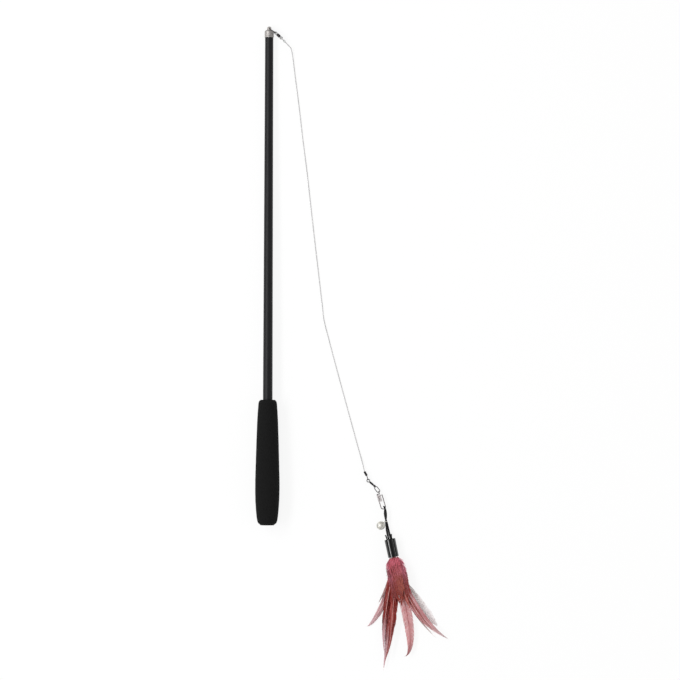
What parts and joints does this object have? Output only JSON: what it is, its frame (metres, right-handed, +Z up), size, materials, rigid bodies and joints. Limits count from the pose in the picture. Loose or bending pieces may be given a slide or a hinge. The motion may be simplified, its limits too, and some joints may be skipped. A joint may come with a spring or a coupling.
{
  "type": "cat teaser wand",
  "caption": "Telescopic cat teaser wand with a foam grip, a line on swivels, and a clip-on lure of dyed feathers with a jingle bell.",
  "frame": {"origin": "centre of the bounding box's bottom face, on the surface that the wand lies on", "axes": "+Y along the wand towards its tip, +X towards the side where the lure lies, +Z up from the surface"},
  "size_m": [0.1553, 0.5141, 0.0196],
  "materials": {
    "foam": "closed-cell foam, matt, finely pitted",
    "plug_plastic": "moulded, matt",
    "rod_black": "glass-fibre tube, satin black",
    "cap_metal": "turned, satin",
    "ring_steel": "drawn wire",
    "dark_nickel": "black nickel plate, glossy",
    "bright_nickel": "bright nickel plate",
    "line_grey": "smooth monofilament",
    "clear_plastic": "clear sleeve",
    "black_metal": "blackened",
    "cord_black": "braided cord",
    "ferrule_black": "shrunk tube, glossy",
    "bell_nickel": "warm nickel plate",
    "pea_steel": "plain steel",
    "feather_red": "dyed feather, red",
    "feather_maroon": "dyed feather, maroon",
    "feather_pink": "dyed feather, dusty pink",
    "feather_brown": "dyed feather, brown",
    "feather_grey": "pale translucent feather",
    "down_pink": "dyed down, bright pink"
  },
  "bodies": {
    "handle": {"foam_grip": "foam", "butt_plug": "plug_plastic", "butt_section": "rod_black"},
    "middle": {"middle_section": "rod_black"},
    "tip": {"tip_section": "rod_black", "tip_cap": "cap_metal"},
    "ring": {"tip_ring": "ring_steel"},
    "upper_swivel": {"upper_swivel_top_eye": "dark_nickel", "upper_swivel_barrel": "dark_nickel"},
    "upper_eye": {"upper_swivel_bottom_eye": "bright_nickel"},
    "tether": {"line": "line_grey", "line_top_loop": "line_grey", "line_sleeve": "clear_plastic", "crimp_sleeve": "black_metal", "hook_loop": "black_metal"},
    "lower_swivel": {"lower_swivel_top_eye": "dark_nickel", "lower_swivel_barrel": "dark_nickel"},
    "lower_eye": {"lower_swivel_long_eye": "dark_nickel"},
    "snap": {"snap_wire": "bright_nickel", "snap_clasp": "bright_nickel"},
    "gate": {"snap_gate": "bright_nickel"},
    "lure": {"lure_cord": "cord_black", "cord_ends": "cord_black", "ferrule": "ferrule_black", "ferrule_plug": "plug_plastic", "feather_veil": "feather_grey", "feather_right_dark": "feather_brown", "feather_left_low": "feather_pink", "feather_left_high": "feather_brown", "feather_left_short": "feather_brown", "feather_long_left": "feather_red", "feather_bowed_left": "feather_maroon", "feather_centre_hook": "feather_pink", "feather_long_right": "feather_pink", "feather_right_inner": "feather_red", "feather_straight_left": "feather_maroon", "feather_crossing_left": "feather_red", "feather_left_red": "feather_red", "feather_centre_short": "feather_red", "down_left": "down_pink", "down_right": "down_pink", "down_middle": "down_pink", "down_top": "down_pink"},
    "bell": {"bell_shank": "bell_nickel", "bell_top_shell": "bell_nickel", "bell_bottom_shell": "bell_nickel"},
    "pea": {"bell_pea": "pea_steel"}
  },
  "joints": [
    {"name": "middle_slide", "type": "slide", "parent": "handle", "child": "middle", "axis": [0, 0.9999, -0.0169], "range_m": [0, 0.29]},
    {"name": "tip_slide", "type": "slide", "parent": "middle", "child": "tip", "axis": [0, 0.9999, -0.0169], "range_m": [0, 0.29]},
    {"name": "ring_swing", "type": "hinge", "parent": "tip", "child": "ring", "pos_m": [-0.068, 0.2553, 0.00363], "axis": [0, 0, 1], "range_deg": [0, 244]},
    {"name": "upper_swivel_swing", "type": "hinge", "parent": "ring", "child": "upper_swivel", "pos_m": [-0.06291, 0.25212, 0.00363], "axis": [0, 0, -1], "range_deg": [-60, 3]},
    {"name": "upper_spin", "type": "hinge", "parent": "upper_swivel", "child": "upper_eye", "pos_m": [-0.05842, 0.24807, 0.00363], "axis": [0.7431, -0.6691, 0], "continuous": true},
    {"name": "line_swing", "type": "hinge", "parent": "upper_eye", "child": "tether", "pos_m": [-0.05828, 0.24792, 0.00363], "axis": [0, 0, 1], "range_deg": [-3, 60]},
    {"name": "lower_swivel_swing", "type": "hinge", "parent": "tether", "child": "lower_swivel", "pos_m": [0.01238, -0.10503, 0.00225], "axis": [0, 0, -1], "range_deg": [-40, 40]},
    {"name": "lower_spin", "type": "hinge", "parent": "lower_swivel", "child": "lower_eye", "pos_m": [0.01749, -0.10969, 0.00225], "axis": [0.7604, -0.6494, 0], "continuous": true},
    {"name": "snap_swing", "type": "hinge", "parent": "lower_eye", "child": "snap", "pos_m": [0.02084, -0.11398, 0.00225], "axis": [0, 0, 1], "range_deg": [-40, 40]},
    {"name": "gate_open", "type": "hinge", "parent": "snap", "child": "gate", "pos_m": [0.02611, -0.12525, 0.00225], "axis": [0, 0, -1], "range_deg": [0, 25]},
    {"name": "lure_swing", "type": "hinge", "parent": "snap", "child": "lure", "pos_m": [0.02585, -0.12743, 0.00225], "axis": [0, 0, -1], "range_deg": [-45, 4]},
    {"name": "bell_swing", "type": "hinge", "parent": "lure", "child": "bell", "pos_m": [0.02666, -0.1381, 0.00345], "axis": [0.0155, -0.9999, 0], "range_deg": [-60, 40]},
    {"name": "pea_rattle", "type": "slide", "parent": "bell", "child": "pea", "axis": [0, 0, 1], "range_m": [0, 0.004]}
  ]
}
